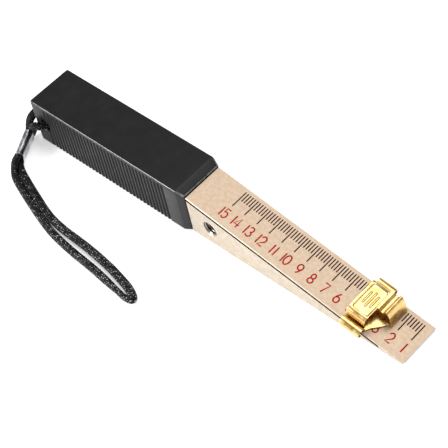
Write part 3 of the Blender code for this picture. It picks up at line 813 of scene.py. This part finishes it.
tick_strokes, number_strokes = [], []
for step in range(FIRST_READING * TICKS_PER_MM, LAST_READING * TICKS_PER_MM + 1):
    s = -step / TICKS_PER_MM * PITCH
    whole = step % TICKS_PER_MM == 0
    tick_strokes.append([(s, TICK_LONG if whole else TICK_SHORT), (s, TICK_FAR)])
    if not whole:
        continue
    digits = str(step // TICKS_PER_MM)
    widths = [ONE_WIDTH if digit == "1" else DIGIT_WIDTH for digit in digits]
    gap = ELEVEN_GAP if digits == "11" else DIGIT_GAP
    left = s - (sum(widths) + gap * (len(digits) - 1)) / 2
    for digit, width in zip(digits, widths):
        for stroke in STROKES[digit]:
            number_strokes.append([
                (left + (width / 2 if digit == "1" else x * DIGIT_WIDTH),
                 DIGIT_TOP - DIGIT_HEIGHT * (1 - y)) for x, y in stroke
            ])
        left += width + gap
ticks = ink_strokes("scale_ticks", tick_strokes, TICK_WIDTH, INK_HEIGHT)
numbers = ink_strokes("scale_numbers", number_strokes, NUMBER_WIDTH, INK_HEIGHT)
print(len(tick_strokes), "ticks,", len(number_strokes), "strokes in the numbers")

# %% [markdown]
# ### Engraving ink
# Cellulose paint wiped into the cuts: matt and slightly uneven. The ticks are a red so dark
# that it looks nearly black, and the numbers are plain red.

# %% Ink materials
def filling_ink(name, low, high):
    made, tree, shader = new_material(name, high, 0.75)
    shader.inputs["Specular IOR Level"].default_value = 0.15
    vary(tree, shader, "Base Color", noise(tree, 1100, 3), [(0.38, low), (0.62, high)])
    return made


dress(ticks, filling_ink("tick_ink_dark", "#1C0507", "#44141A"))
dress(numbers, filling_ink("number_ink_red", "#9C1A12", "#C42A1E"))
for piece in (ticks, numbers):
    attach(piece, "gauge")

# %% [markdown]
# ## The slider
# Two pressings of 0.4 mm brass. The base is a floor with a rolled rail on each side that
# hooks into the bar's grooves. The cover is a raised pad for the thumb, and its front runs
# on as a strip that dips, rises into a ridge and comes down to the index edge. Both are
# bent sheet, so each is its section's middle line, thickened and carried along.

# %% Sheet-metal helper
SHEET = 0.4


def sheet_ring(line, thickness=SHEET):
    """The closed outline of a bent sheet with rounded edges, from its middle line."""
    points = [Vector(p) for p in line]
    upper, lower = [], []
    for i, point in enumerate(points):
        along = (points[min(i + 1, len(points) - 1)] - points[max(i - 1, 0)]).normalized()
        normal = Vector((-along.y, along.x)) * thickness / 2
        upper.append(point + normal)
        lower.append(point - normal)
    return [tuple(p) for p in upper + lower[::-1]]


def rounded_line(points, radius, steps=5):
    """A line of points with its inner corners rounded by up to radius."""
    corners = [Vector(p) for p in points]
    line = [corners[0]]
    for before, corner, after in zip(corners, corners[1:], corners[2:]):
        reach = min(radius, (corner - before).length * 0.45, (after - corner).length * 0.45)
        start = corner + (before - corner).normalized() * reach
        end = corner + (after - corner).normalized() * reach
        for k in range(steps + 1):
            t = k / steps
            line.append((1 - t) ** 2 * start + 2 * t * (1 - t) * corner + t ** 2 * end)
    return [tuple(p) for p in [*line, corners[-1]]]


# %% [markdown]
# ### The base
# The floor is a flat outline raised by the sheet's thickness, with a window for the spring
# and a curved cut at its near front corner. Each rail is a roll that ends in a lip, and the
# lip turns in to run in the bar's groove. Floor and rails are then joined into one sheet.

# %% Slider base
RAIL_Y, RAIL_Z, RAIL_RADIUS = 9.2, 0.6, 1.8
SLIDER_REAR, RAIL_FRONT_NEAR, RAIL_FRONT_FAR, LIP_FRONT = -13.8, -5.7, -6.9, -6.9
FLOOR = 0.3
LIP_INNER = 8.15                        # the lip reaches this far in, into the bar's groove
rail_bend = RAIL_RADIUS - SHEET / 2
rail_line = arc((RAIL_Y, RAIL_Z), rail_bend, 188, -90, 28) + [(LIP_INNER, RAIL_Z - rail_bend)]
rail_section = sheet_ring(rail_line)
rails = []
for side, front in ((-1, RAIL_FRONT_NEAR), (1, RAIL_FRONT_FAR)):
    stations = [SLIDER_REAR, SLIDER_REAR + 0.1, front - 0.1, front]
    rings = [[(s, side * y, z) for y, z in rail_section] for s in stations]
    rails.append(lofted("rail", rings, slider))
notch = [                               # the floor's front edge by the near rail
    (-5.25, -6.7), (-4.8, -5.75), (-4.1, -4.85), (-3.3, -3.9), (-2.55, -2.95), (-1.95, -2.0),
    (-1.5, -1.15),
]
floor_outline = rounded_line([
    (SLIDER_REAR, -7.6), (RAIL_FRONT_NEAR, -7.6), *notch, (-0.95, -0.9), (-0.95, 7.2),
    (RAIL_FRONT_FAR, 7.2), (RAIL_FRONT_FAR - 0.3, 7.6), (SLIDER_REAR, 7.6),
], 0.3, 3)
slider_base = lofted("slider_base_sheet", [
    [(s, y, z) for s, y in floor_outline] for z in (FLOOR, FLOOR + SHEET)
], slider)
window_outline = rounded_line([(-13.1, -2.5), (-8.1, -2.5), (-8.1, 2.5), (-13.1, 2.5)], 0.4, 3)
cut(slider_base, lofted("cutter", [
    [(s, y, z) for s, y in window_outline] for z in (-1.0, 2.0)
], slider))
for rail in rails:
    cut(slider_base, rail, "UNION")
near_lip = lofted("cutter", [
    [(LIP_FRONT, -9.2, z), (0, -9.2, z), (0, -7.6, z), (LIP_FRONT, -7.6, z)] for z in (-3.0, -0.3)
], slider)
cut(slider_base, near_lip)
smoothed(softened(slider_base, 0.07, 40), 40)
print(faces_of(slider_base))

# %% [markdown]
# ### The cover
# The pad is a grid of points so that its top can carry a pressed pattern: a shallow frame
# line with rounded corners, and three plain raised bars in it that stop the thumb from
# slipping. Each point is raised or lowered by how near it lies to those lines.

# %% Slider cover
COVER_FRONT, COVER_FOOT, COVER_TOP = -6.3, 0.95, 5.7
COVER_FLAT, COVER_BULGE, COVER_SIDE_Z = 5.6, 1.95, 3.0
FRAME = ((-12.85, -6.75), (-5.75, 5.75))     # the frame line: along and across
GRIP_BARS = ((-11.3, 2.2), (-9.8, 2.9), (-8.3, 2.2))


def pressed(s, y):
    """How far the pad's top is pressed up or down at a place."""
    (s0, s1), (y0, y1) = FRAME
    ds = abs(s - (s0 + s1) / 2) - (s1 - s0) / 2 + 0.9
    dy = abs(y - (y0 + y1) / 2) - (y1 - y0) / 2 + 0.9
    outside = math.hypot(max(ds, 0), max(dy, 0)) + min(max(ds, dy), 0) - 0.9
    lift = -0.16 * math.exp(-(outside / 0.16) ** 2) + 0.05 / (1 + math.exp(outside / 0.15))
    for middle, half in GRIP_BARS:
        away = math.hypot(s - middle, max(abs(y) - half, 0))
        lift += 0.20 * math.exp(-(away / 0.33) ** 4)
    return lift


across, tall = COVER_BULGE - SHEET / 2, COVER_TOP - COVER_SIDE_Z - SHEET / 2
foot_angle = 180 + math.degrees(math.asin((COVER_SIDE_Z - COVER_FOOT) / tall))
near_side = arc((-COVER_FLAT, COVER_SIDE_Z), (across, tall), foot_angle, 90, 16)
top_line = [(-COVER_FLAT + 2 * COVER_FLAT * k / 80, COVER_TOP - SHEET / 2) for k in range(1, 80)]
pad_line = near_side + top_line + [(-y, z) for y, z in near_side[::-1]]
pad_rings = []
for k in range(55):
    s = SLIDER_REAR + (COVER_FRONT - SLIDER_REAR) * k / 54
    lifted = [(y, z + (pressed(s, y) if z > COVER_TOP - SHEET else 0)) for y, z in pad_line]
    pad_rings.append([(s, y, z) for y, z in sheet_ring(lifted)])
pad = lofted("slider_cover_sheet", pad_rings, slider)

strip_line = rounded_line([
    (COVER_FRONT - 0.6, 5.5), (-5.75, 5.5), (-5.05, 4.9), (-3.95, 4.8), (-3.45, 5.3),
    (-3.15, 6.3), (-2.8, 6.42), (-2.15, 5.75), (-1.35, 4.4), (-0.75, 2.85), (-0.35, 1.4),
    (-0.2, 0.42),
], 0.5, 4)
strip_section = sheet_ring(strip_line)
TONGUE_NEAR, TONGUE_FAR = -0.9, 7.2
strip_stations = [
    TONGUE_NEAR, TONGUE_NEAR + 0.1, *[0.5 * k for k in range(15)], TONGUE_FAR - 0.1, TONGUE_FAR,
]
strip = lofted("strip", [[(s, y, z) for s, z in strip_section] for y in strip_stations], slider)
cut(pad, strip, "UNION")
slider_cover = smoothed(softened(pad, 0.06, 45))
print(faces_of(slider_cover))

# %% [markdown]
# ### The spring
# A bent bronze leaf under the pad reaches down through the floor's window and drags on the
# bar, so the slider stays where the thumb leaves it. It is hidden, and its bend is the
# usual one.

# %% Slider spring
spring_line = rounded_line([
    (-12.9, 4.7), (-9.0, 4.7), (-8.25, 4.2), (-8.35, 3.4), (-9.6, 2.4), (-10.6, 0.75),
    (-11.0, 0.45), (-11.4, 0.6), (-11.9, 1.1),
], 0.5, 4)
spring_section = sheet_ring(spring_line, 0.3)
slider_spring = lofted("leaf_spring", [
    [(s, y, z) for s, z in spring_section] for y in (-1.8, -1.7, 1.7, 1.8)
], slider)
smoothed(slider_spring, 40)
print(faces_of(slider_spring))

# %% [markdown]
# ### Polished brass
# Cold-rolled brass, polished after pressing. It mirrors its surroundings softly, with faint
# rolling lines, patches dulled by fingers, and a browner tone where the polish never
# reached. The spring is phosphor bronze, pinker and duller.

# %% Slider materials
def rolled_brass(name, low, high, dull, bright):
    made, tree, shader = new_material(name, high, bright, 1.0)
    touch = noise(tree, 380, 5)
    lines = noise(tree, 1.0, 2, stretched(tree, (0, SLOPE, 0), (3600, 300, 900)))
    vary(tree, shader, "Base Color", touch, [(0.3, low), (0.62, high)])
    vary(tree, shader, "Roughness", touch, [(0.35, bright), (0.7, dull)])
    relief(tree, shader, lines, 0.12, 0.00003)
    return made


brass = rolled_brass("rolled_brass_polished", "#CF9F56", "#EACF92", 0.36, 0.2)
bronze = rolled_brass("phosphor_bronze_strip", "#B9825A", "#D9A47C", 0.4, 0.26)
dress(slider_base, brass)
dress(slider_cover, brass)
dress(slider_spring, bronze)
for piece, node, finish in (
    (slider_base, "slider_base", "brass_sheet"),
    (slider_cover, "slider_cover", "brass_sheet"),
    (slider_spring, "slider_spring", "bronze_spring"),
):
    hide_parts(node)
    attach(piece, "slider")

# %% [markdown]
# ## Floor and light
# A plain white table, a pale surrounding and two soft lamps: a wide one overhead and one
# from the near side, which lights the handle's ribs and the bar's side.

# %% Studio
table_mesh = bpy.data.meshes.new("table")
table_mesh.from_pydata([(-3, -3, 0), (3, -3, 0), (3, 3, 0), (-3, 3, 0)], [], [(0, 1, 2, 3)])
table = bpy.data.objects.new("table", table_mesh)
bpy.context.scene.collection.objects.link(table)
paper, tree, shader = new_material("white_paper", "#FFFFFF", 0.9)
shader.inputs["Emission Color"].default_value = (1, 1, 1, 1)
shader.inputs["Emission Strength"].default_value = 0.45
dress(table, paper)

world = bpy.data.worlds.new("studio")
bpy.context.scene.world = world
world.use_nodes = True
surrounding = world.node_tree.nodes["Background"]
surrounding.inputs["Color"].default_value = (1.0, 0.995, 0.985, 1)
surrounding.inputs["Strength"].default_value = 0.42


def soft_lamp(name, place, target, size, power):
    data = bpy.data.lights.new(name, "AREA")
    data.shape = "RECTANGLE"
    data.size, data.size_y = size
    data.energy = power
    lamp = bpy.data.objects.new(name, data)
    lamp.location = place
    lamp.rotation_euler = (Vector(target) - Vector(place)).to_track_quat("-Z", "Y").to_euler()
    bpy.context.scene.collection.objects.link(lamp)


soft_lamp("overhead", (0.0, 0.25, 1.0), (0, 0, 0), (0.9, 0.7), 5.5)
soft_lamp("near_side", (-0.50, -0.78, 0.40), (0, 0, 0), (0.35, 0.22), 8)
